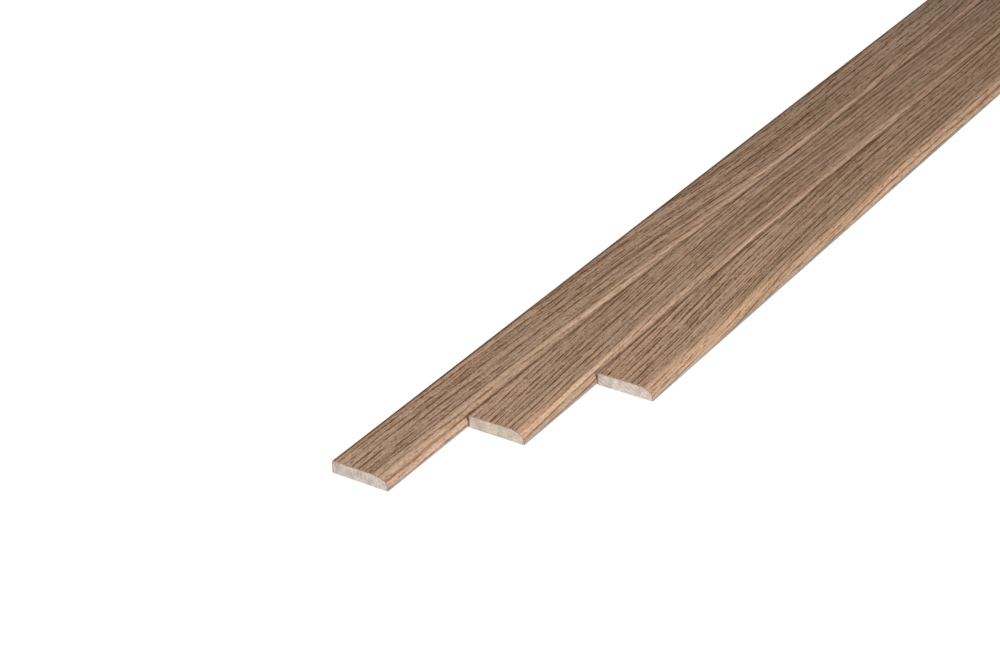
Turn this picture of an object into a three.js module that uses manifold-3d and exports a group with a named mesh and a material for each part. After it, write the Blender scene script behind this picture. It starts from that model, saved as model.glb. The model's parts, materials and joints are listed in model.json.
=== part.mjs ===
// Threshold strips: three equal lengths of a low timber profile, lying side by side with
// their front ends stepped back. Each length is a softwood core, glued up from
// finger-jointed blocks, in a thin oak veneer that wraps all but the underside.
//
// Millimetres. X runs across the strips towards their rounded edges, Y along them, Z up.
// The origin is at the centre of the whole set, on the surface that it lies on.

import * as THREE from 'three';
import { mergeVertices } from 'three/addons/utils/BufferGeometryUtils.js';
import Module from 'manifold-3d';

// ---- driving dimensions -------------------------------------------------------------
const STRIP_COUNT = 3;
const WIDTH = 36.4;
const THICKNESS = 8;
const LENGTH = 900;
const SIDE_GAP = 0.25; // air between two neighbouring strips
const STEP_BACK = 78.4; // each strip starts this much further back than the one before

const ARRIS_RADIUS = 1.2; // eased corner between the square edge and the top
const FLAT_TOP = 0.72 * WIDTH; // from the square edge to where the round-over starts
const LIP_HEIGHT = 0.2 * THICKNESS; // upright part of the rounded edge
const ROUND_SEGMENTS = 14;
const ARRIS_SEGMENTS = 4;

const VENEER = 0.6;
const GLUE = 0.1; // film between veneer and core
const VENEER_TRIM = 0.2; // the veneer stops this far above the underside

const FINGER_LENGTH = 10;
const FINGER_PITCH = 3.8;
const FINGER_TIP = 0.6; // blunt end of a finger
const FINGER_PLAY = 0.3; // along the strip, filled with glue

// Core block ends, as shares of the strip's length, one row for each strip.
const BLOCK_ENDS = [
  [0, 0.29, 0.52, 0.81, 1],
  [0, 0.17, 0.45, 0.7, 1],
  [0, 0.25, 0.46, 0.77, 1],
];

// ---- derived places -----------------------------------------------------------------
const PITCH_X = WIDTH + SIDE_GAP;
const SET_WIDTH = STRIP_COUNT * PITCH_X - SIDE_GAP;
const SET_LENGTH = LENGTH + (STRIP_COUNT - 1) * STEP_BACK;
const CORE_INSET = VENEER + GLUE;
const ROUND_RUN = WIDTH - FLAT_TOP;
const ROUND_DROP = THICKNESS - LIP_HEIGHT;

// ---- materials ----------------------------------------------------------------------
const oak = () => new THREE.MeshStandardMaterial({ color: 0x8f6f58, roughness: 0.55, metalness: 0 });
const pine = () => new THREE.MeshStandardMaterial({ color: 0xcdbaa2, roughness: 0.8, metalness: 0 });

// ---- booleans -----------------------------------------------------------------------
const wasm = await Module();
wasm.setup();

function toSolid(geometry) {
  const bare = geometry.clone();
  bare.deleteAttribute('normal');
  bare.deleteAttribute('uv');
  const merged = mergeVertices(bare, 1e-4);
  return new wasm.Manifold(
    new wasm.Mesh({
      numProp: 3,
      vertProperties: new Float32Array(merged.attributes.position.array),
      triVerts: new Uint32Array(merged.index.array),
    }),
  );
}

function toGeometry(solid) {
  const mesh = solid.getMesh();
  const geometry = new THREE.BufferGeometry();
  geometry.setAttribute('position', new THREE.BufferAttribute(mesh.vertProperties, 3));
  geometry.setIndex(new THREE.BufferAttribute(mesh.triVerts, 1));
  geometry.computeVertexNormals();
  return geometry;
}

// ---- cross-section ------------------------------------------------------------------

// The outline from the foot of the square edge, over the top, to the foot of the lip,
// moved inwards by `inset`. The round-over is a quarter ellipse, moved along its normals.
function overTheTop(inset, foot) {
  const points = [new THREE.Vector2(inset, foot)];
  const arris = Math.max(ARRIS_RADIUS - inset, 0);
  const arrisSteps = arris > 0 ? ARRIS_SEGMENTS : 0;
  for (let i = 0; i <= arrisSteps; i += 1) {
    const angle = arrisSteps ? (i / arrisSteps) * (Math.PI / 2) : 0;
    points.push(
      new THREE.Vector2(
        inset + arris * (1 - Math.cos(angle)),
        THICKNESS - inset - arris * (1 - Math.sin(angle)),
      ),
    );
  }
  for (let i = 0; i <= ROUND_SEGMENTS; i += 1) {
    const angle = (i / ROUND_SEGMENTS) * (Math.PI / 2);
    const normal = new THREE.Vector2(
      Math.sin(angle) / ROUND_RUN,
      Math.cos(angle) / ROUND_DROP,
    ).normalize();
    points.push(
      new THREE.Vector2(
        FLAT_TOP + ROUND_RUN * Math.sin(angle) - inset * normal.x,
        LIP_HEIGHT + ROUND_DROP * Math.cos(angle) - inset * normal.y,
      ),
    );
  }
  points.push(new THREE.Vector2(WIDTH - inset, foot));
  return points;
}

// A cross-section (x, z) drawn out along Y from `front` to `back`.
function drawOut(outline, front, back) {
  const geometry = new THREE.ExtrudeGeometry(new THREE.Shape(outline), {
    depth: back - front,
    bevelEnabled: false,
  });
  geometry.rotateX(Math.PI / 2);
  geometry.translate(0, back, 0);
  return geometry;
}

// ---- finger joints ------------------------------------------------------------------

// The zigzag line of one joint, from the square edge to the lip, centred on `middle`.
function fingerLine(middle) {
  const points = [];
  const start = -FINGER_PITCH;
  const count = Math.ceil((WIDTH + 2 * FINGER_PITCH) / (FINGER_PITCH / 2));
  for (let i = 0; i <= count; i += 1) {
    const x = start + i * (FINGER_PITCH / 2);
    const y = middle + (i % 2 ? 0.5 : -0.5) * FINGER_LENGTH;
    points.push(new THREE.Vector2(x - FINGER_TIP / 2, y));
    points.push(new THREE.Vector2(x + FINGER_TIP / 2, y));
  }
  return points;
}

function straightLine(y) {
  const reach = 2 * FINGER_PITCH;
  return [new THREE.Vector2(-reach, y), new THREE.Vector2(WIDTH + reach, y)];
}

// The block of core between two places along the strip, where `first` and `last` say
// that an end is the strip's own square cut and not a joint.
function coreBlock(front, back, first, last) {
  const halfPlay = FINGER_PLAY / 2;
  const frontLine = first ? straightLine(front) : fingerLine(front + halfPlay);
  const backLine = last ? straightLine(back) : fingerLine(back - halfPlay);
  const plan = new THREE.Shape([...frontLine, ...backLine.reverse()]);
  const cutter = new THREE.ExtrudeGeometry(plan, { depth: 3 * THICKNESS, bevelEnabled: false });
  cutter.translate(0, 0, -THICKNESS);
  const bar = drawOut(overTheTop(CORE_INSET, 0), front - FINGER_LENGTH, back + FINGER_LENGTH);
  return toGeometry(toSolid(bar).intersect(toSolid(cutter)));
}

// ---- one strip ----------------------------------------------------------------------
function addPiece(parent, name, geometry, material) {
  const mesh = new THREE.Mesh(geometry, material);
  mesh.name = name;
  parent.add(mesh);
}

function veneerWrap() {
  const outer = overTheTop(0, VENEER_TRIM);
  const inner = overTheTop(VENEER, VENEER_TRIM);
  return drawOut([...outer, ...inner.reverse()], 0, LENGTH);
}

function strip(index) {
  const group = new THREE.Group();
  const label = `strip_${index + 1}`;
  addPiece(group, `${label}_oak_veneer`, veneerWrap(), oak());
  const ends = BLOCK_ENDS[index].map((share) => share * LENGTH);
  for (let i = 0; i + 1 < ends.length; i += 1) {
    const first = i === 0;
    const last = i + 2 === ends.length;
    const block = coreBlock(ends[i], ends[i + 1], first, last);
    addPiece(group, `${label}_core_block_${i + 1}`, block, pine());
  }
  group.position.set(
    -SET_WIDTH / 2 + index * PITCH_X,
    -SET_LENGTH / 2 + index * STEP_BACK,
    0,
  );
  return group;
}

const thresholdStrips = new THREE.Group();
for (let i = 0; i < STRIP_COUNT; i += 1) thresholdStrips.add(strip(i));

export default thresholdStrips;
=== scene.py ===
"""Looks for the threshold strips: oak veneer wraps over finger-jointed softwood cores.

Everything is in metres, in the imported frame: X across the strips towards their rounded
edges, Y along them away from the stepped front ends, Z up from the floor.
"""

import json
import math
import random

import bmesh
import bpy
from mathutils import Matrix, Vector, noise

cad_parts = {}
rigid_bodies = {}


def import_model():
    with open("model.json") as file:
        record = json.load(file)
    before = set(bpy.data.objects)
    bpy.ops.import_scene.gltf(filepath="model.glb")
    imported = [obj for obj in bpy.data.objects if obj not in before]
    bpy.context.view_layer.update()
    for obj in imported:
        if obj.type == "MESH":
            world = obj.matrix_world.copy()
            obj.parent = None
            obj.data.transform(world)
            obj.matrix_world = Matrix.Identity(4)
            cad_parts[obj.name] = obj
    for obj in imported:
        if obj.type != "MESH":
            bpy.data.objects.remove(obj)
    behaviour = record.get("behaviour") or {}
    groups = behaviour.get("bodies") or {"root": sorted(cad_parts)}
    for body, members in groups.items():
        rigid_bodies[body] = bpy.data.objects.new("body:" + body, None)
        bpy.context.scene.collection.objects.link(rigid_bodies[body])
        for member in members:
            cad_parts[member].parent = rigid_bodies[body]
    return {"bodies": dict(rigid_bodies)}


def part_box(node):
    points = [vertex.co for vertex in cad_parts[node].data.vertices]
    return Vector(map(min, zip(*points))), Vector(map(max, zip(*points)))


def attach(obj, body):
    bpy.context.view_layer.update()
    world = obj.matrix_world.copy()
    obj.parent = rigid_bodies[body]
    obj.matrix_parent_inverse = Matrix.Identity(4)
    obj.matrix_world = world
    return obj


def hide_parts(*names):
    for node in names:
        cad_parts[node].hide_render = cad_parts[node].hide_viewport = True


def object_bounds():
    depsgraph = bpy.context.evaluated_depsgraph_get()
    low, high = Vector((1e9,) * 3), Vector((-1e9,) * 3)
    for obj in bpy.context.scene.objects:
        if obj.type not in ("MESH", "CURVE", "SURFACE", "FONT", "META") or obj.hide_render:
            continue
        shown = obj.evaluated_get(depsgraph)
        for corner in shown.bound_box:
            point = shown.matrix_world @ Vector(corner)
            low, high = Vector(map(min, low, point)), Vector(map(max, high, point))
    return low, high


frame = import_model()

cad_low, cad_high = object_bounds()
MM = 0.001
QUARTER_TURN = math.pi / 2

# ---- sizes, the profile's shares as in the CAD model ---------------------------------
STRIPS = sorted(frame["bodies"])
BLOCKS_PER_STRIP = 4
first_low, first_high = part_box(f"{STRIPS[0]}_oak_veneer")
WIDTH = first_high.x - first_low.x
THICKNESS = first_high.z
VENEER_FOOT = first_low.z
CORE_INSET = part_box(f"{STRIPS[0]}_core_block_1")[0].x - first_low.x
FLAT_TOP = 0.72 * WIDTH
LIP_HEIGHT = 0.2 * THICKNESS
ARRIS_RADIUS = 1.2 * MM
ROUND_RUN = WIDTH - FLAT_TOP
ROUND_DROP = THICKNESS - LIP_HEIGHT
WRAP = CORE_INSET - 0.04 * MM  # the veneer with its glue film, a hair short of the core

FINGER_LENGTH = 10 * MM
FINGER_PITCH = 3.8 * MM
FINGER_TIP = 0.6 * MM
FINGER_PLAY = 0.3 * MM

# Longest steps between neighbouring points of the meshes.
SQUARE_EDGE_STEP = 1 * MM
TOP_STEP = 0.8 * MM
LIP_STEP = 0.8 * MM
LENGTH_STEP = 3 * MM
ARRIS_STEP = math.pi / 12
ROUND_STEP = math.pi / 56


# ---- small helpers -------------------------------------------------------------------
def spread(low, high, step):
    """Evenly spaced values from low to high, both included, at most a step apart."""
    count = max(1, math.ceil((high - low) / step - 1e-6))
    return [low + (high - low) * i / count for i in range(count + 1)]


def smooth(t):
    """Rises softly from 0 to 1 as t does, and stays there outside that range."""
    t = min(max(t, 0.0), 1.0)
    return t * t * (3 - 2 * t)


def finish_mesh(name, bm, material):
    """Turns a bmesh into a linked object with one material."""
    mesh = bpy.data.meshes.new(name)
    bm.to_mesh(mesh)
    bm.free()
    piece = bpy.data.objects.new(name, mesh)
    bpy.context.scene.collection.objects.link(piece)
    mesh.materials.append(material)
    return piece


def mark(piece, name, values, domain="POINT"):
    """Gives every point or face of a piece a number that its material reads by name."""
    attribute = piece.data.attributes.new(name, "FLOAT", domain)
    attribute.data.foreach_set("value", values)


def smooth_long_faces(piece, limit=math.radians(40)):
    """Smooth shading, with sharp edges where faces meet at more than the limit."""
    bm = bmesh.new()
    bm.from_mesh(piece.data)
    for face in bm.faces:
        face.smooth = True
    for edge in bm.edges:
        edge.smooth = edge.is_manifold and edge.calc_face_angle() < limit
    bm.to_mesh(piece.data)
    bm.free()


# ---- cross-section -------------------------------------------------------------------
# Its points are (x, z, outward x, outward z), x from the strip's square edge.
def arris_point(turn, inset):
    """The eased corner: a quarter circle from the square edge up to the flat top."""
    out_x, out_z = -math.cos(turn), math.sin(turn)
    radius = ARRIS_RADIUS - inset
    x = ARRIS_RADIUS + radius * out_x
    z = THICKNESS - ARRIS_RADIUS + radius * out_z
    return x, z, out_x, out_z


def round_point(turn, inset):
    """The round-over: a quarter ellipse from the flat top down to the lip."""
    out = Vector((math.sin(turn) / ROUND_RUN, math.cos(turn) / ROUND_DROP)).normalized()
    x = FLAT_TOP + ROUND_RUN * math.sin(turn) - inset * out.x
    z = LIP_HEIGHT + ROUND_DROP * math.cos(turn) - inset * out.y
    return x, z, out.x, out.y


def wrap_path(inset):
    """Points from the foot of the square edge, over the top, to the foot of the lip, moved
    inwards by inset. All insets give as many points."""
    path = []
    for z in spread(VENEER_FOOT, THICKNESS - ARRIS_RADIUS, SQUARE_EDGE_STEP)[:-1]:
        path.append((inset, z, -1.0, 0.0))
    for turn in spread(0, QUARTER_TURN, ARRIS_STEP):
        path.append(arris_point(turn, inset))
    for x in spread(ARRIS_RADIUS, FLAT_TOP, TOP_STEP)[1:-1]:
        path.append((x, THICKNESS - inset, 0.0, 1.0))
    for turn in spread(0, QUARTER_TURN, ROUND_STEP):
        path.append(round_point(turn, inset))
    for z in spread(VENEER_FOOT, LIP_HEIGHT, LIP_STEP)[-2::-1]:
        path.append((WIDTH - inset, z, 1.0, 0.0))
    return path


def developed_width(path):
    """Distance along the path at each of its points, so grain isn't stretched at the edges."""
    across = [0.0]
    for a, b in zip(path, path[1:]):
        across.append(across[-1] + math.hypot(b[0] - a[0], b[1] - a[1]))
    return across


OUTER_PATH = wrap_path(0)
INNER_PATH = wrap_path(WRAP)
ACROSS = developed_width(OUTER_PATH)


def core_top(x):
    """Height of the core under the veneer at x from the strip's square edge."""
    if x <= FLAT_TOP:
        return THICKNESS - CORE_INSET
    low, high = 0.0, QUARTER_TURN
    for _ in range(40):
        turn = (low + high) / 2
        if round_point(turn, CORE_INSET)[0] < x:
            low = turn
        else:
            high = turn
    return round_point(turn, CORE_INSET)[1]


# ---- where the veneer's colour differs across a strip, painted highlight and shade included ---
ARRIS_FADE = 1.5 * MM
ROUND_LEAD = 1 * MM
ROUND_FADE = 4 * MM
LIP_FADE = 6.0 * MM
FOOT_TOP = 2.0 * MM
FOOT_FADE = 1.6 * MM
CREST_START, CREST_RISE = 0.815, 0.065  # shares of the width
CREST_END, CREST_FALL = 0.965, 0.05


def arris_share(x):
    """1 on the square edge and on the eased corner over it, falling to 0 on the top."""
    return smooth(1 - (x - ARRIS_RADIUS) / ARRIS_FADE)


def round_share(x):
    """0 on the flat top, 1 on the rounded edge and the lip."""
    return smooth((x - FLAT_TOP + ROUND_LEAD) / ROUND_FADE)


def crest_share(x):
    """Where the painted highlight lies: 1 on the crest of the rounded edge, falling to 0 on both
    sides of it.
    """
    place = x / WIDTH
    return smooth((place - CREST_START) / CREST_RISE) * smooth((CREST_END - place) / CREST_FALL)


def lip_shade_share(x, z):
    """Painted shade on the lip: 1 at its foot, falling steadily to 0 up the rounded edge."""
    return max(1 - (z - VENEER_FOOT) / LIP_FADE, 0.0) if x > WIDTH / 2 else 0.0


def foot_shade_share(x, z):
    """Painted shade by the floor: 1 on the lowest part of the lip, falling to 0 soon above it."""
    return smooth((FOOT_TOP - z) / FOOT_FADE) if x > WIDTH / 2 else 0.0


# ---- node graphs ---------------------------------------------------------------------
class Graph:
    """A short way to write a material's nodes."""

    def __init__(self, name):
        self.material = bpy.data.materials.new(name)
        self.material.use_nodes = True
        self.tree = self.material.node_tree
        self.shader = self.tree.nodes["Principled BSDF"]

    def node(self, kind, inputs=(), **settings):
        made = self.tree.nodes.new(kind)
        for key, value in settings.items():
            setattr(made, key, value)
        for key, value in dict(inputs).items():
            self.feed(made.inputs[key], value)
        return made

    def feed(self, socket, value):
        """Links a socket to another node's output, or sets its value."""
        if isinstance(value, bpy.types.NodeSocket):
            self.tree.links.new(value, socket)
        else:
            socket.default_value = value

    def math(self, operation, *values):
        made = self.node("ShaderNodeMath", operation=operation)
        for socket, value in zip(made.inputs, values):
            self.feed(socket, value)
        return made.outputs[0]

    def attribute(self, name):
        made = self.node("ShaderNodeAttribute", attribute_name=name, attribute_type="GEOMETRY")
        return made.outputs

    def parts(self, vector):
        return self.node("ShaderNodeSeparateXYZ", {0: vector}).outputs

    def join(self, x, y, z=0.0):
        return self.node("ShaderNodeCombineXYZ", {0: x, 1: y, 2: z}).outputs[0]

    def noise(self, vector, scale=1.0, detail=2.0, roughness=0.5):
        made = self.node("ShaderNodeTexNoise", {
            "Vector": vector, "Scale": scale, "Detail": detail, "Roughness": roughness,
        })
        return made.outputs["Fac"]

    def cells(self, vector, dimensions="2D"):
        """Distance to the middle of the nearest Voronoi cell, and that cell's own colour."""
        made = self.node("ShaderNodeTexVoronoi", {"Vector": vector, "Scale": 1.0},
                         voronoi_dimensions=dimensions)
        return made.outputs["Distance"], made.outputs["Color"]

    def step(self, value, low, high, to_low=0.0, to_high=1.0):
        """A soft step from to_low, where value is low, to to_high, where it is high."""
        made = self.node("ShaderNodeMapRange", {
            "Value": value, "From Min": low, "From Max": high, "To Min": to_low, "To Max": to_high,
        }, interpolation_type="SMOOTHSTEP")
        return made.outputs["Result"]

    def blend(self, share, a, b, mode="MIX"):
        made = self.node("ShaderNodeMix", data_type="RGBA", blend_type=mode)
        factor, colour_a, colour_b = made.inputs[0], made.inputs[6], made.inputs[7]
        self.feed(factor, share)
        self.feed(colour_a, a)
        self.feed(colour_b, b)
        return made.outputs[2]

    def paint(self, share, colour, paint):
        """The colour, covered with the paint where share is 1."""
        return self.blend(share, colour, (*paint, 1.0))

    def tint(self, share, colour, tint):
        """The colour, multiplied by the tint where share is 1."""
        return self.blend(share, colour, self.blend(1.0, colour, (*tint, 1.0), "MULTIPLY"))

    def shade(self, colour, brightness):
        """The colour, multiplied by a grey."""
        grey = self.join(brightness, brightness, brightness)
        return self.blend(1.0, colour, grey, "MULTIPLY")

    def ramp(self, value, stops):
        made = self.node("ShaderNodeValToRGB", {"Fac": value})
        elements = made.color_ramp.elements
        while len(elements) < len(stops):
            elements.new(0.5)
        for element, (place, colour) in zip(elements, stops):
            element.position = place
            element.color = (*colour, 1.0)
        return made.outputs["Color"]

    def bump(self, height, distance):
        inputs = {"Height": height, "Distance": distance, "Strength": 1.0}
        return self.node("ShaderNodeBump", inputs).outputs["Normal"]


def centred(g, value, size):
    """A 0 to 1 value turned into one that swings by size around 0."""
    return g.math("MULTIPLY", g.math("SUBTRACT", value, 0.5), size)


# ---- oak veneer ----------------------------------------------------------------------
OAK_LIGHT = (0.496, 0.340, 0.230)
OAK_MID = (0.358, 0.231, 0.149)
OAK_DEEP = (0.235, 0.142, 0.087)
OAK_PORE = (0.130, 0.052, 0.016)
OAK_SAWN = (0.340, 0.228, 0.155)
# painted shade along the foot of the lip, next to the floor
OAK_FOOT_SHADE = (0.300, 0.248, 0.205)
OAK_ARRIS = (0.055, 0.046, 0.032)

# Tints, which multiply the colour under them.
OAK_ROSY = (1.035, 0.980, 1.008)
OAK_OLIVE = (0.995, 1.0, 0.993)
OAK_STRAW = (1.012, 0.990, 0.930)
OAK_PALE = (0.985, 1.015, 1.045)
# painted highlight: a paler ribbon along the crest of the rounded edge
OAK_CREST_HIGHLIGHT = (1.29, 1.30, 1.31)
# painted shade, darkest at the foot of the lip
OAK_LIP_SHADE = (0.740, 0.770, 0.815)

# Layers of lighter and darker wood: the width and length of their streaks in millimetres,
# their noise's seed and detail, and how far each one swings the tone.
OAK_LAYERS = {
    "growth": (1.6, 190, 0.3, 1, 1.15),
    "bands": (3.4, 260, 1.9, 1, 0.75),
    "ribbons": (1.2, 38, 5.7, 1, 0.60),
    "ticks": (0.8, 9, 9.1, 1, 0.52),
    "fibres": (0.28, 9, 2.2, 2, 0.60),
    "grit": (0.50, 1.9, 3.1, 2, 1.35),
}
LINE_STRENGTH = 0.82
SLIM_STRENGTH = 0.8
VESSEL_STRENGTH = 0.75
FOOT_SHADE_STRENGTH = 0.8

# On the rounded edge: what is left of the swing and of the lines, and how much darker it is.
ROUND_SWING = 0.62
ROUND_LINES = 0.75
ROUND_DARKER = 0.10

LANE_SEED = 7.31  # far enough apart for each lane's noise to be its own
SWELL_SEED = 3.7
LANE_STRAY = 0.6  # how far a line may stray sideways, in lanes


def pore_lines(g, across, along, pitch, reach, low, high, widest):
    """Broken dark lines along the grain, one in each lane of the given pitch. A line swells
    to a half-width of widest (in lanes) and fades out again over about reach. Returns how
    far inside a line the place is and how far from the line's middle, both in lanes."""
    lanes = g.math("DIVIDE", across, pitch)
    lane = g.math("FLOOR", lanes)
    lane_seed = g.math("MULTIPLY", lane, LANE_SEED)
    stray = g.noise(g.join(lane_seed, g.math("DIVIDE", along, 1.6 * reach)), detail=1)
    off = g.math("SUBTRACT", g.math("SUBTRACT", lanes, lane), 0.5)
    off = g.math("ABSOLUTE", g.math("ADD", off, centred(g, stray, LANE_STRAY)))
    swell_place = g.join(g.math("ADD", lane_seed, SWELL_SEED), g.math("DIVIDE", along, reach))
    swell = g.noise(swell_place, detail=2, roughness=0.6)
    half_width = g.step(swell, low, high, to_low=-0.05, to_high=widest)
    return g.math("SUBTRACT", half_width, off), off


def dashes(g, across, along, width, length, low, high):
    """Tapered dashes along the grain: 1 in a dash, 0 between, and each dash's own number.
    Every Voronoi cell, width by length, holds one dash of its own size, from low to high
    cells in half-width."""
    place = g.join(g.math("DIVIDE", across, width), g.math("DIVIDE", along, length))
    distance, colour = g.cells(place)
    own = g.parts(colour)
    size = g.step(own[0], 0.0, 1.0, to_low=low, to_high=high)
    inside = g.math("SUBTRACT", size, distance)
    return g.step(inside, 0.0, 0.14), own[1]


def oak_material():
    """Brown oak: broken pore lines in a softly streaked ground. It reads the wrap's attributes:
    grain (place in the veneer, across and along), sawn (1 on cut ends), rounded (the rounded
    edge's colour), crest (its painted highlight), lip and foot (painted shade on the lip), arris
    (a darker band on the square edge and its corner) and straw (how much yellower the strip's wood
    is)."""
    g = Graph("brown_oak")
    grain = g.parts(g.attribute("grain")["Vector"])
    along = grain[1]
    rounded = g.attribute("rounded")["Fac"]

    def waves(x, width, length, seed=0.0, detail=1.0):
        place = g.join(g.math("DIVIDE", x, width), g.math("DIVIDE", along, length), seed)
        return g.noise(place, detail=detail)

    # the grain sways a little from side to side
    sway = waves(grain[0], width=22 * MM, length=170 * MM)
    quiver = waves(grain[0], width=3.5 * MM, length=22 * MM, detail=2)
    across = g.math("ADD", grain[0], centred(g, sway, 5 * MM))
    across = g.math("ADD", across, centred(g, quiver, 1.0 * MM))

    # lighter and darker streaks
    layers = {}
    swing = 0.0
    for name, (width, length, seed, detail, size) in OAK_LAYERS.items():
        layers[name] = waves(across, width * MM, length * MM, seed, detail)
        swing = g.math("ADD", swing, centred(g, layers[name], size))
    swing = g.math("MULTIPLY", swing, g.step(rounded, 0.0, 1.0, to_low=1.0, to_high=ROUND_SWING))

    # pore lines, wide ones with slim ones between them
    fray = waves(across, width=0.5 * MM, length=2.4 * MM, seed=6.6)
    ragged = g.math("ADD", across, centred(g, fray, 0.7 * MM))
    wide, from_line = pore_lines(
        g, ragged, along, pitch=3.4 * MM, reach=20 * MM, low=0.36, high=0.58, widest=0.13)
    aside = g.math("ADD", ragged, 0.317)
    slim, _ = pore_lines(
        g, aside, along, pitch=1.7 * MM, reach=9 * MM, low=0.46, high=0.64, widest=0.20)
    wide_line = g.step(wide, -0.03, 0.06)
    slim_line = g.math("MULTIPLY", g.step(slim, -0.03, 0.08), SLIM_STRENGTH)
    lines = g.math("MAXIMUM", wide_line, slim_line)
    calm = g.step(rounded, 0.0, 1.0, to_low=1.0, to_high=ROUND_LINES)
    lines = g.math("MULTIPLY", lines, calm)

    # short open vessels, mostly in the lines
    aside = g.math("ADD", across, 0.77)
    vessels, own_depth = dashes(
        g, aside, along, width=0.45 * MM, length=3.2 * MM, low=0.05, high=0.50)
    depth = g.step(own_depth, 0.0, 1.0, to_low=0.4, to_high=1.0)
    vessels = g.math("MULTIPLY", vessels, depth)
    in_lines = g.math("ADD", 0.15, g.math("MULTIPLY", lines, 0.85))
    open_grain = g.math("MULTIPLY", vessels, in_lines)

    # wood colour, then the pores, then the crest's painted highlight, the darker corner, the lip's
    # painted shade, and the cut ends
    beside_line = g.step(from_line, 0.04, 0.30, to_low=0.40, to_high=0.60)
    tone = g.math("ADD", beside_line, swing)
    tone = g.math("SUBTRACT", tone, g.math("MULTIPLY", rounded, ROUND_DARKER))
    colour = g.ramp(tone, [(0.22, OAK_DEEP), (0.50, OAK_MID), (0.80, OAK_LIGHT)])
    hue = waves(across, width=12 * MM, length=140 * MM, seed=4.4, detail=2)
    hue_tint = g.ramp(hue, [(0.35, OAK_OLIVE), (0.65, OAK_ROSY)])
    colour = g.blend(1.0, colour, hue_tint, "MULTIPLY")
    colour = g.tint(g.attribute("straw")["Fac"], colour, OAK_STRAW)
    colour = g.tint(rounded, colour, OAK_PALE)
    colour = g.paint(g.math("MULTIPLY", lines, LINE_STRENGTH), colour, OAK_PORE)
    colour = g.paint(g.math("MULTIPLY", open_grain, VESSEL_STRENGTH), colour, OAK_PORE)
    # painted highlight along the crest of the rounded edge
    colour = g.tint(g.attribute("crest")["Fac"], colour, OAK_CREST_HIGHLIGHT)
    # darker along the square edge and the corner over it, patchy with the ribbons
    uneven = g.step(layers["ribbons"], 0.30, 0.60, to_low=0.7, to_high=1.0)
    dark_corner = g.math("MULTIPLY", g.attribute("arris")["Fac"], uneven)
    colour = g.paint(dark_corner, colour, OAK_ARRIS)
    # painted shade up the lip from its foot, fading towards the back end
    colour = g.tint(g.attribute("lip")["Fac"], colour, OAK_LIP_SHADE)
    # painted shade on the lowest part of the lip, by the floor
    foot = g.math("MULTIPLY", g.attribute("foot")["Fac"], FOOT_SHADE_STRENGTH)
    colour = g.paint(foot, colour, OAK_FOOT_SHADE)
    colour = g.paint(g.attribute("sawn")["Fac"], colour, OAK_SAWN)

    # relief and gloss
    pits = g.math("MAXIMUM", open_grain, g.math("MULTIPLY", lines, 0.6))
    nap = g.math("MULTIPLY", g.math("ADD", layers["fibres"], layers["grit"]), 0.15)
    height = g.math("SUBTRACT", nap, pits)
    rough = g.step(lines, 0.0, 1.0, to_low=0.62, to_high=0.82)
    rough = g.math("ADD", rough, centred(g, layers["ribbons"], 0.16))
    g.feed(g.shader.inputs["Base Color"], colour)
    g.feed(g.shader.inputs["Roughness"], rough)
    g.feed(g.shader.inputs["Normal"], g.bump(height, 0.12 * MM))
    g.shader.inputs["Specular IOR Level"].default_value = 0.12
    return g.material


# ---- softwood ------------------------------------------------------------------------
PINE_EARLY = (0.640, 0.530, 0.400)
PINE_LATE = (0.430, 0.305, 0.190)
PINE_CUT = (0.618, 0.540, 0.472)
PINE_CUT_LATE = (0.330, 0.262, 0.205)
PINE_CANAL = (0.200, 0.120, 0.070)

# Tints, which multiply the colour under them.
PINE_ROSY = (1.040, 0.975, 0.960)
PINE_PLAIN = (1.0, 1.0, 1.0)
PINE_GREEN = (0.980, 1.008, 0.915)
PINE_GREY = (0.970, 0.985, 1.045)
PINE_COOL = (0.98, 1.0, 1.06)
PINE_WARM = (1.06, 1.0, 0.90)

RING_PITCH = 2.3 * MM
CANAL_STRENGTH = 0.55


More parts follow.
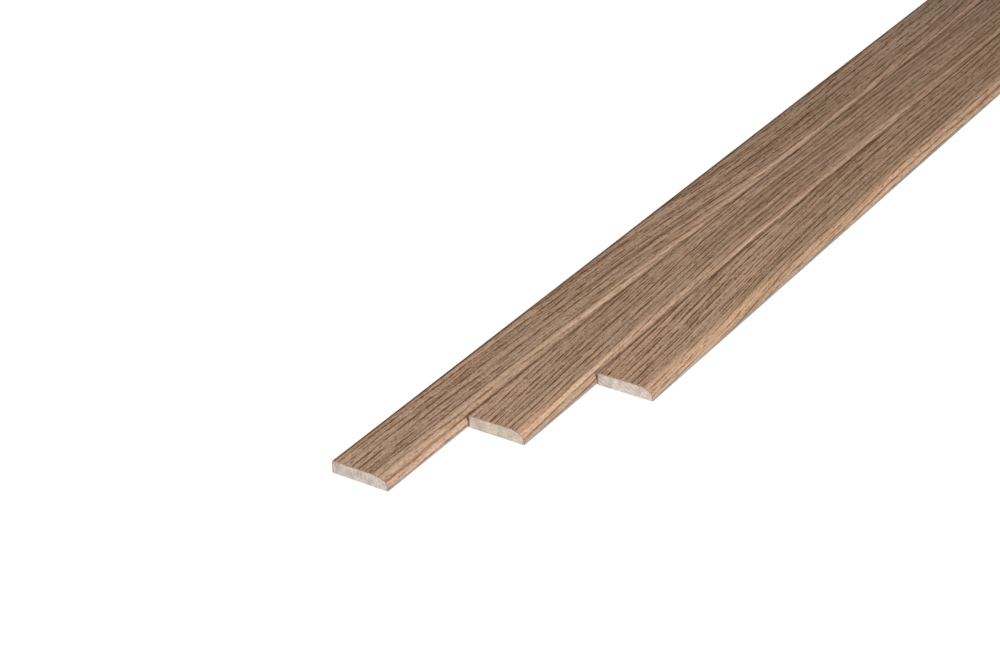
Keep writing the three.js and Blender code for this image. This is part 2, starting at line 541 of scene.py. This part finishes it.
def pine_material():
    """Growth rings round a pith line. It reads the block's attributes: wood (place from the
    pith, across, along and up), cut (1 on sawn ends), tint (how warm the wood is) and
    figure (how clearly the rings show on a sawn end)."""
    g = Graph("raw_softwood")
    wood = g.parts(g.attribute("wood")["Vector"])
    cut = g.attribute("cut")["Fac"]
    tint = g.attribute("tint")["Fac"]
    figure = g.attribute("figure")["Fac"]

    def place(width, length, seed=0.0):
        return g.join(
            g.math("DIVIDE", wood[0], width),
            g.math("ADD", g.math("DIVIDE", wood[1], length), seed),
            g.math("DIVIDE", wood[2], width),
        )

    # growth rings, each with its own share of dark late wood
    wobble = g.noise(place(width=33 * MM, length=450 * MM), detail=3)
    quiver = g.noise(place(width=1.8 * MM, length=60 * MM, seed=4.4), detail=2)
    across_square = g.math("MULTIPLY", wood[0], wood[0])
    up_square = g.math("MULTIPLY", wood[2], wood[2])
    radius = g.math("SQRT", g.math("ADD", across_square, up_square))
    radius = g.math("ADD", radius, g.math("MULTIPLY", wobble, 4.0 * MM))
    radius = g.math("ADD", radius, g.math("MULTIPLY", quiver, 1.1 * MM))
    count = g.math("DIVIDE", radius, RING_PITCH)
    ring = g.math("FRACT", count)
    darkening = g.step(ring, 0.35, 0.88)
    ending = g.step(ring, 0.93, 1.0, to_low=1.0, to_high=0.0)
    late = g.math("MULTIPLY", darkening, ending)
    own = g.noise(g.join(g.math("FLOOR", count), 0.37, tint), scale=1.7)
    late = g.math("MULTIPLY", late, g.step(own, 0.3, 0.7, to_low=0.35, to_high=1.0))

    # finer marks
    fibres = g.noise(place(width=0.35 * MM, length=25 * MM), detail=3, roughness=0.7)
    blotches = g.noise(place(width=5.0 * MM, length=40 * MM, seed=8.8), detail=2)
    grains = place(width=0.60 * MM, length=0.60 * MM, seed=2.6)
    sawdust = g.noise(grains, detail=3, roughness=0.6)
    canal_distance, _ = g.cells(place(width=1.5 * MM, length=30 * MM), "3D")
    canals = g.step(canal_distance, 0.08, 0.20, to_low=1.0, to_high=0.0)

    # colour of the long faces and of the sawn ends
    long_colour = g.blend(late, (*PINE_EARLY, 1.0), (*PINE_LATE, 1.0))
    cut_late = g.math("MULTIPLY", late, figure)
    cut_late = g.math("ADD", cut_late, g.step(blotches, 0.36, 0.68, to_high=0.42))
    cut_colour = g.blend(cut_late, (*PINE_CUT, 1.0), (*PINE_CUT_LATE, 1.0))
    hue_tint = g.ramp(blotches, [
        (0.38, PINE_ROSY), (0.50, PINE_PLAIN), (0.60, PINE_GREEN), (0.68, PINE_GREY),
    ])
    cut_colour = g.blend(1.0, cut_colour, hue_tint, "MULTIPLY")
    rough_saw = g.step(sawdust, 0.30, 0.72, to_low=0.80, to_high=1.17)
    cut_colour = g.shade(cut_colour, rough_saw)
    colour = g.blend(cut, long_colour, cut_colour)
    colour = g.paint(g.math("MULTIPLY", canals, CANAL_STRENGTH), colour, PINE_CANAL)
    colour = g.shade(colour, g.step(fibres, 0.25, 0.75, to_low=0.86, to_high=1.10))
    warmth = g.ramp(tint, [(0.0, PINE_COOL), (1.0, PINE_WARM)])
    colour = g.blend(1.0, colour, warmth, "MULTIPLY")

    # relief and gloss
    nap = g.math("MULTIPLY", g.math("ADD", sawdust, fibres), 0.6)
    height = g.math("ADD", g.math("MULTIPLY", late, 0.5), nap)
    g.feed(g.shader.inputs["Base Color"], colour)
    g.feed(g.shader.inputs["Roughness"], g.step(late, 0.0, 1.0, to_low=0.88, to_high=0.72))
    g.feed(g.shader.inputs["Normal"], g.bump(height, 0.14 * MM))
    g.shader.inputs["Specular IOR Level"].default_value = 0.25
    return g.material


# ---- glue in the finger joints -------------------------------------------------------
GLUE_DARK = (0.30, 0.19, 0.10)
GLUE_LIGHT = (0.46, 0.33, 0.20)


def glue_material():
    """Dried wood glue: amber, with patches that differ in colour and gloss."""
    g = Graph("joint_glue")
    place = g.node("ShaderNodeTexCoord").outputs["Object"]
    patches = g.noise(place, scale=900, detail=2)
    colour = g.ramp(patches, [(0.3, GLUE_DARK), (0.7, GLUE_LIGHT)])
    g.feed(g.shader.inputs["Base Color"], colour)
    rough = g.step(patches, 0.2, 0.8, to_low=0.35, to_high=0.6)
    g.feed(g.shader.inputs["Roughness"], rough)
    return g.material


OAK = oak_material()
PINE = pine_material()
GLUE = glue_material()


# ---- veneer wraps --------------------------------------------------------------------
END_ZONE = 4 * MM  # the chipping of a cut end fades out over this
# The first rows' distances from a cut end.
NEAR_END = [0, 0.3 * MM, 0.7 * MM, 1.2 * MM, 1.9 * MM, 2.8 * MM, END_ZONE]
CHIP_SEEDS = (3.0, 11.0)  # of the front end and of the back end
CHIP_WIDTH = 1.9 * MM
CHIP_DEPTH = 0.30 * MM
FRAY_WIDTH = 0.55 * MM
FRAY_DEPTH = 0.04 * MM
CUT_SETBACK = 0.05 * MM  # of the veneer's edge behind the core's cut end
RIPPLE = 0.02 * MM
RIPPLE_WIDTH = 5 * MM
RIPPLE_LENGTH = 80 * MM

# How the grain lines run on each strip: their slope across the strip at the front end and
# every 150 mm behind it, positive towards the square edge.
GRAIN_SLOPES = [
    (0.01, -0.02, -0.05, -0.03, 0.01, 0.02, 0.0),
    (0.05, 0.045, 0.0, -0.02, -0.03, 0.0, 0.02),
    (0.045, 0.06, 0.02, -0.01, 0.02, 0.03, 0.01),
]
SLOPE_SPAN = 150 * MM
GRAIN_START = (0.19, 0.43, 0.57)  # place in the log, in metres across it
GRAIN_APART = 1.31  # metres along the log from one strip's wood to the next one's
GRAIN_FINENESS = (0.78, 0.98, 0.92)
GRAIN_REACH = (0.66, 0.80, 0.76)  # below 1, every line is longer
REACH_LOSS = 0.4  # how much shorter the lines get towards the back end

# How each strip differs: its wood's tint, the painted highlight on its crest, and the darker band
# on its corner.
STRAW_LOG = (0.0, 0.1, 0.7)  # how much yellower than the first the strip's wood is
# How strong the painted highlight on the crest is, at the front end and behind it.
CREST_HIGHLIGHT_LEVELS = [(0.2, 1.0), (1.0, 1.0), (0.5, 0.65)]
CREST_RUN = 120 * MM
# A darker band on the square edge and on the corner over it. Known fault: the photo shows it on
# the corner only, but arris_share leaves out the height, so the whole edge is dark as well.
DARK_ARRIS = (1.0, 0.0, 0.0)


def chip_depth(across, end_seed):
    """How far the cut edge of the veneer is chipped back at this place across it."""
    coarse = noise.noise(Vector((across / CHIP_WIDTH, end_seed, 0.3)))
    fine = abs(noise.noise(Vector((across / FRAY_WIDTH, end_seed + 7.1, 0.9))))
    chips = smooth((coarse - 0.15) * 3) * (0.6 + 0.8 * fine)
    return CUT_SETBACK + CHIP_DEPTH * chips + FRAY_DEPTH * fine


def chipped(distance, length, across, index):
    """The distance from the front end, moved inwards where a cut end is chipped."""
    place = distance
    ends = (distance, 1), (length - distance, -1)
    for (from_end, inwards), seed in zip(ends, CHIP_SEEDS):
        if from_end < END_ZONE:
            fade = (1 - from_end / END_ZONE) ** 2
            place += inwards * fade * chip_depth(across, seed + index * 1.7)
    return place


def wrap_rows(length):
    """Distances from the front end, close together near both ends."""
    middle = spread(END_ZONE, length - END_ZONE, LENGTH_STEP)[1:-1]
    return NEAR_END + middle + [length - distance for distance in reversed(NEAR_END)]


def crest_highlight_level(index, distance):
    """How strong the painted highlight on the crest is at this distance from the strip's front
    end.
    """
    at_front, behind = CREST_HIGHLIGHT_LEVELS[index]
    return at_front + (behind - at_front) * min(distance / CREST_RUN, 1.0)


def grain_drift(index, distance):
    """How far the grain has run towards the square edge by this distance from the front."""
    slopes = GRAIN_SLOPES[index]
    drift = 0.0
    for i, (a, b) in enumerate(zip(slopes, slopes[1:])):
        part = min(max(distance / SLOPE_SPAN - i, 0.0), 1.0)
        drift += SLOPE_SPAN * (a * part + (b - a) * part * part / 2)
    return drift


def grain_places(index, rows, length):
    """Place in the log of each point on one side of a wrap, as one flat list."""
    places = []
    for distance in rows:
        start = GRAIN_START[index]
        drift = grain_drift(index, distance)
        stretch = GRAIN_REACH[index] + REACH_LOSS * distance / length
        along = distance * stretch + GRAIN_APART * index
        for across in ACROSS:
            places += [across * GRAIN_FINENESS[index] + drift + start, along, 0.0]
    return places


def wrap_side(bm, path, ripple_size, low, length, index):
    """The points of one side of a wrap: a line of them across it for each row along it."""
    side = []
    for distance in wrap_rows(length):
        line = []
        for (x, z, out_x, out_z), across in zip(path, ACROSS):
            y = low.y + chipped(distance, length, across, index)
            place = Vector((across / RIPPLE_WIDTH, distance / RIPPLE_LENGTH, index * 4.0))
            move = ripple_size * (noise.noise(place) - 1)
            line.append(bm.verts.new((low.x + x + out_x * move, y, z + out_z * move)))
        side.append(line)
    return side


def close_wrap(bm, outer, inner):
    """Faces over both sides of a wrap, along its two feet and over its cut ends."""
    last, columns = len(outer) - 1, len(outer[0])
    for j in range(last):
        for i in range(columns - 1):
            bm.faces.new((outer[j][i], outer[j][i + 1], outer[j + 1][i + 1], outer[j + 1][i]))
            bm.faces.new((inner[j][i], inner[j + 1][i], inner[j + 1][i + 1], inner[j][i + 1]))
        for i, flip in ((0, False), (columns - 1, True)):
            quad = (outer[j][i], outer[j + 1][i], inner[j + 1][i], inner[j][i])
            bm.faces.new(quad[::-1] if flip else quad)
    for j, flip in ((0, True), (last, False)):
        for i in range(columns - 1):
            quad = (outer[j][i], outer[j][i + 1], inner[j][i + 1], inner[j][i])
            bm.faces.new(quad[::-1] if flip else quad)
    bmesh.ops.recalc_face_normals(bm, faces=bm.faces)


def mark_wrap(piece, index, rows, length):
    """Writes what oak_material reads, for the outer side's points and then the inner's."""
    def both_sides(line, shares):
        return [value * share for share in shares for value in line] * 2

    even = [1.0] * len(rows)
    # the lip's painted shade fades towards the back end
    fading = [(1 - distance / length) ** 2 for distance in rows]
    # how strong the crest's painted highlight is along the strip
    highlight_levels = [crest_highlight_level(index, distance) for distance in rows]
    grain = piece.data.attributes.new("grain", "FLOAT_VECTOR", "POINT")
    grain.data.foreach_set("vector", grain_places(index, rows, length) * 2)
    lip = [lip_shade_share(x, z) for x, z, _, _ in OUTER_PATH]
    foot = [foot_shade_share(x, z) for x, z, _, _ in OUTER_PATH]
    rounded = [round_share(x) for x, _, _, _ in OUTER_PATH]
    crest = [crest_share(x) for x, _, _, _ in OUTER_PATH]
    arris = [DARK_ARRIS[index] * arris_share(x) for x, _, _, _ in OUTER_PATH]
    mark(piece, "lip", both_sides(lip, fading))
    mark(piece, "foot", both_sides(foot, even))
    mark(piece, "rounded", both_sides(rounded, even))
    mark(piece, "crest", both_sides(crest, highlight_levels))
    mark(piece, "arris", both_sides(arris, even))
    mark(piece, "straw", [STRAW_LOG[index]] * len(piece.data.vertices))
    # a cut end's faces are those that look along the strip
    sawn = [float(abs(face.normal.y) > 0.7) for face in piece.data.polygons]
    mark(piece, "sawn", sawn, "FACE")


def make_wrap(strip_name, index):
    low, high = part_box(f"{strip_name}_oak_veneer")
    length = high.y - low.y
    bm = bmesh.new()
    outer = wrap_side(bm, OUTER_PATH, RIPPLE, low, length, index)
    inner = wrap_side(bm, INNER_PATH, 0.0, low, length, index)
    close_wrap(bm, outer, inner)
    piece = finish_mesh(f"{strip_name}_veneer_wrap", bm, OAK)
    mark_wrap(piece, index, wrap_rows(length), length)
    smooth_long_faces(piece)
    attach(piece, strip_name)
    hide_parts(f"{strip_name}_oak_veneer")


# ---- core blocks ---------------------------------------------------------------------
CORE_COLUMN_STEP = 0.6 * MM
CLOSEST_COLUMNS = 0.05 * MM


def finger_offset(x):
    """How far the joint line runs ahead (+) or behind (-) at x from the square edge."""
    half_pitch = FINGER_PITCH / 2
    steps = (x + FINGER_PITCH) / half_pitch
    nearest = round(steps)
    tip = 0.5 if nearest % 2 else -0.5
    beyond = abs(steps - nearest) * half_pitch - FINGER_TIP / 2
    if beyond <= 0:
        return tip * FINGER_LENGTH
    return tip * FINGER_LENGTH * (1 - 2 * beyond / (half_pitch - FINGER_TIP))


def core_columns():
    """Places across the core that carry every corner of the finger line."""
    places = set(spread(FLAT_TOP, WIDTH - CORE_INSET, CORE_COLUMN_STEP)) | {CORE_INSET}
    for i in range(-1, int(2 * WIDTH / FINGER_PITCH) + 4):
        centre = -FINGER_PITCH + i * FINGER_PITCH / 2
        places |= {centre - FINGER_TIP / 2, centre + FINGER_TIP / 2}
    kept = sorted(p for p in places if CORE_INSET - 1e-9 <= p <= WIDTH - CORE_INSET + 1e-9)
    columns = [kept[0]]
    for place in kept[1:]:
        if place - columns[-1] > CLOSEST_COLUMNS:
            columns.append(place)
    columns[-1] = WIDTH - CORE_INSET
    return columns


COLUMNS = core_columns()
TOPS = [core_top(x) for x in COLUMNS]
LAYERS = 6

# Pith of each front block, from the strip's square edge at floor level, so that the cut
# ends show upright rings, flat rings and slanting rings in turn. The other blocks' piths
# are drawn at random.
FRONT_PITHS = [(-70 * MM, -14 * MM), (20 * MM, -46 * MM), (-14 * MM, -47 * MM)]
FRONT_TINTS = [0.10, 0.58, 0.20]
FRONT_FIGURES = [0.25, 0.20, 0.42]
OTHER_FIGURE = 0.6
PITH_REACH = (30, 80)  # nearest and furthest pith of the other blocks, in millimetres
TINT_RISE = 0.5  # how much warmer a block is at its top than at its bottom
WOOD_APART = 0.83  # metres along the log from one block's wood to the next one's


def core_grid(bm, strip_x, starts, ends, shares):
    """The points of a block's skin by layer, row and column, with nothing inside."""
    rows, columns = len(shares) - 1, len(COLUMNS) - 1
    grid = []
    for k in range(LAYERS + 1):
        layer = [[None] * len(COLUMNS) for _ in shares]
        for j, share in enumerate(shares):
            for i, x in enumerate(COLUMNS):
                if 0 < k < LAYERS and 0 < j < rows and 0 < i < columns:
                    continue
                y = starts[i] + (ends[i] - starts[i]) * share
                layer[j][i] = bm.verts.new((strip_x + x, y, TOPS[i] * k / LAYERS))
        grid.append(layer)
    return grid


def close_core(bm, grid, at_front, at_back):
    """Faces over a block. Returns the numbers of those on its sawn ends."""
    rows, columns = len(grid[0]) - 1, len(COLUMNS) - 1
    cut_faces = []
    for level in (grid[0], grid[LAYERS]):
        for j in range(rows):
            for i in range(columns):
                bm.faces.new((level[j][i], level[j][i + 1], level[j + 1][i + 1], level[j + 1][i]))
    for a, b in zip(grid, grid[1:]):
        for j in range(rows):
            for i in (0, columns):
                bm.faces.new((a[j][i], a[j + 1][i], b[j + 1][i], b[j][i]))
        for j, is_cut in ((0, at_front), (rows, at_back)):
            for i in range(columns):
                face = bm.faces.new((a[j][i], a[j][i + 1], b[j][i + 1], b[j][i]))
                if is_cut:
                    cut_faces.append(face)
    bmesh.ops.recalc_face_normals(bm, faces=bm.faces)
    bm.faces.index_update()
    return {face.index for face in cut_faces}


def mark_core(piece, strip_x, pith, shift, tint, figure, cut_indices):
    """Writes what pine_material reads. The wood is warmer towards the top of a block."""
    vertices = piece.data.vertices
    pith_x, pith_z = pith
    wood = piece.data.attributes.new("wood", "FLOAT_VECTOR", "POINT")
    for i, vertex in enumerate(vertices):
        x, y, z = vertex.co
        wood.data[i].vector = (x - strip_x - pith_x, y + shift, z - pith_z)
    tints = [tint + TINT_RISE * (vertex.co.z / THICKNESS - 0.5) for vertex in vertices]
    mark(piece, "tint", tints)
    mark(piece, "figure", [figure] * len(vertices))
    cut = [float(i in cut_indices) for i in range(len(piece.data.polygons))]
    mark(piece, "cut", cut, "FACE")


def make_core_block(strip_name, index, number, rng):
    """Makes one block. Returns where the joint behind it is, or None behind the last one."""
    node = f"{strip_name}_core_block_{number}"
    low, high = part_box(node)
    strip_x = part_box(f"{strip_name}_oak_veneer")[0].x
    half = FINGER_LENGTH / 2
    at_front, at_back = number == 1, number == BLOCKS_PER_STRIP
    front = low.y if at_front else low.y + half
    back = high.y if at_back else high.y - half
    starts = [front + (0 if at_front else finger_offset(x)) for x in COLUMNS]
    ends = [back + (0 if at_back else finger_offset(x)) for x in COLUMNS]
    shares = spread(0, 1, LENGTH_STEP / (back - front))
    bm = bmesh.new()
    grid = core_grid(bm, strip_x, starts, ends, shares)
    cut_indices = close_core(bm, grid, at_front, at_back)
    piece = finish_mesh(f"{strip_name}_softwood_{number}", bm, PINE)

    if at_front:
        pith, tint, figure = FRONT_PITHS[index], FRONT_TINTS[index], FRONT_FIGURES[index]
    else:
        turn = rng.uniform(-math.pi, 0)
        reach = rng.uniform(*PITH_REACH) * MM
        pith = (WIDTH / 2 + reach * math.cos(turn), reach * math.sin(turn))
        tint, figure = rng.random(), OTHER_FIGURE
    shift = WOOD_APART * (index * BLOCKS_PER_STRIP + number)
    mark_core(piece, strip_x, pith, shift, tint, figure, cut_indices)
    smooth_long_faces(piece, math.radians(15))
    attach(piece, strip_name)
    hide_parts(node)
    return None if at_back else back + FINGER_PLAY / 2


GLUE_GAP = 0.02 * MM  # between the glue and the wood on each side
GLUE_BOTTOM = 0.06 * MM
GLUE_BELOW_TOP = 0.05 * MM


def make_joint_glue(strip_name, number, middle):
    """The glue that fills the play of one finger joint, a thin upright zigzag ribbon."""
    strip_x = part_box(f"{strip_name}_oak_veneer")[0].x
    reach = FINGER_PLAY / 2 - GLUE_GAP
    bottoms = [GLUE_BOTTOM] * len(COLUMNS)
    tops = [top - GLUE_BELOW_TOP for top in TOPS]
    bm = bmesh.new()
    lines = []
    for side in (-reach, reach):
        for heights in (bottoms, tops):
            lines.append([
                bm.verts.new((strip_x + x, middle + finger_offset(x) + side, z))
                for x, z in zip(COLUMNS, heights)
            ])
    near_low, near_high, far_low, far_high = lines
    loop = (near_low, near_high, far_high, far_low)
    for i in range(len(COLUMNS) - 1):
        for a, b in zip(loop, loop[1:] + loop[:1]):
            bm.faces.new((a[i], a[i + 1], b[i + 1], b[i]))
    for i in (0, -1):
        bm.faces.new([line[i] for line in loop])
    bmesh.ops.recalc_face_normals(bm, faces=bm.faces)
    piece = finish_mesh(f"{strip_name}_joint_glue_{number}", bm, GLUE)
    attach(piece, strip_name)


rng = random.Random(8)
for index, strip_name in enumerate(STRIPS):
    make_wrap(strip_name, index)
    for number in range(1, BLOCKS_PER_STRIP + 1):
        joint = make_core_block(strip_name, index, number, rng)
        if joint is not None:
            make_joint_glue(strip_name, number, joint)


# ---- floor and light -----------------------------------------------------------------
FLOOR_SIZE = 30
FLOOR_GREY = 0.12
FLOOR_GLOW = 0.95
HORIZON_GLOW = 1.0
CEILING_GLOW = 0.06
HORIZON_TOP = math.radians(10)
CEILING_EDGE = math.radians(28)
WHITE = (1, 1, 1, 1)


def make_floor():
    """A wide floor that glows nearly white, so that only soft contact shadows are left."""
    bm = bmesh.new()
    bmesh.ops.create_grid(bm, x_segments=1, y_segments=1, size=FLOOR_SIZE)
    g = Graph("white_floor")
    g.shader.inputs["Base Color"].default_value = (FLOOR_GREY, FLOOR_GREY, FLOOR_GREY, 1)
    g.shader.inputs["Roughness"].default_value = 0.9
    g.shader.inputs["Specular IOR Level"].default_value = 0.0
    g.shader.inputs["Emission Color"].default_value = WHITE
    g.shader.inputs["Emission Strength"].default_value = FLOOR_GLOW
    floor = finish_mesh("floor", bm, g.material)


def make_light(name, place, aim, size, power):
    """A round area light at place, turned towards aim."""
    data = bpy.data.lights.new(name, "AREA")
    data.shape = "DISK"
    data.size = size
    data.energy = power
    lamp = bpy.data.objects.new(name, data)
    lamp.location = place
    lamp.rotation_euler = (Vector(aim) - Vector(place)).to_track_quat("-Z", "Y").to_euler()
    bpy.context.scene.collection.objects.link(lamp)


def make_world():
    """A white horizon under a dimmer studio ceiling."""
    world = bpy.data.worlds.new("studio")
    bpy.context.scene.world = world
    world.use_nodes = True
    tree = world.node_tree
    direction = tree.nodes.new("ShaderNodeTexCoord").outputs["Generated"]
    parts = tree.nodes.new("ShaderNodeSeparateXYZ")
    tree.links.new(direction, parts.inputs[0])
    fade = tree.nodes.new("ShaderNodeMapRange")
    fade.interpolation_type = "SMOOTHSTEP"
    tree.links.new(parts.outputs["Z"], fade.inputs["Value"])
    fade.inputs["From Min"].default_value = math.sin(HORIZON_TOP)
    fade.inputs["From Max"].default_value = math.sin(CEILING_EDGE)
    fade.inputs["To Min"].default_value = HORIZON_GLOW
    fade.inputs["To Max"].default_value = CEILING_GLOW
    background = tree.nodes["Background"]
    background.inputs["Color"].default_value = WHITE
    tree.links.new(fade.outputs["Result"], background.inputs["Strength"])


# ---- camera, at the photograph's viewing angle ---------------------------------------
AZIMUTH, ELEVATION = math.radians(32.11), math.radians(29.12)
LENS = 93.06
AIM = Vector((cad_low.x - 5.6 * MM, cad_low.y + 178.5 * MM, 0.0))
CAMERA_DISTANCE = 1.5243


def make_camera():
    data = bpy.data.cameras.new("camera")
    data.sensor_width = 36
    data.lens = LENS
    data.clip_end = 200
    camera = bpy.data.objects.new("camera", data)
    back = Vector((
        math.sin(AZIMUTH) * math.cos(ELEVATION),
        -math.cos(AZIMUTH) * math.cos(ELEVATION),
        math.sin(ELEVATION),
    ))
    camera.location = AIM + back * CAMERA_DISTANCE
    camera.rotation_euler = (-back).to_track_quat("-Z", "Y").to_euler()
    bpy.context.scene.collection.objects.link(camera)
    bpy.context.scene.camera = camera


make_floor()
make_light("key", place=(0.97, -0.86, 0.80), aim=(0, -0.3, 0), size=1.2, power=28.7)
make_world()
make_camera()
bpy.context.scene.view_settings.view_transform = "Standard"
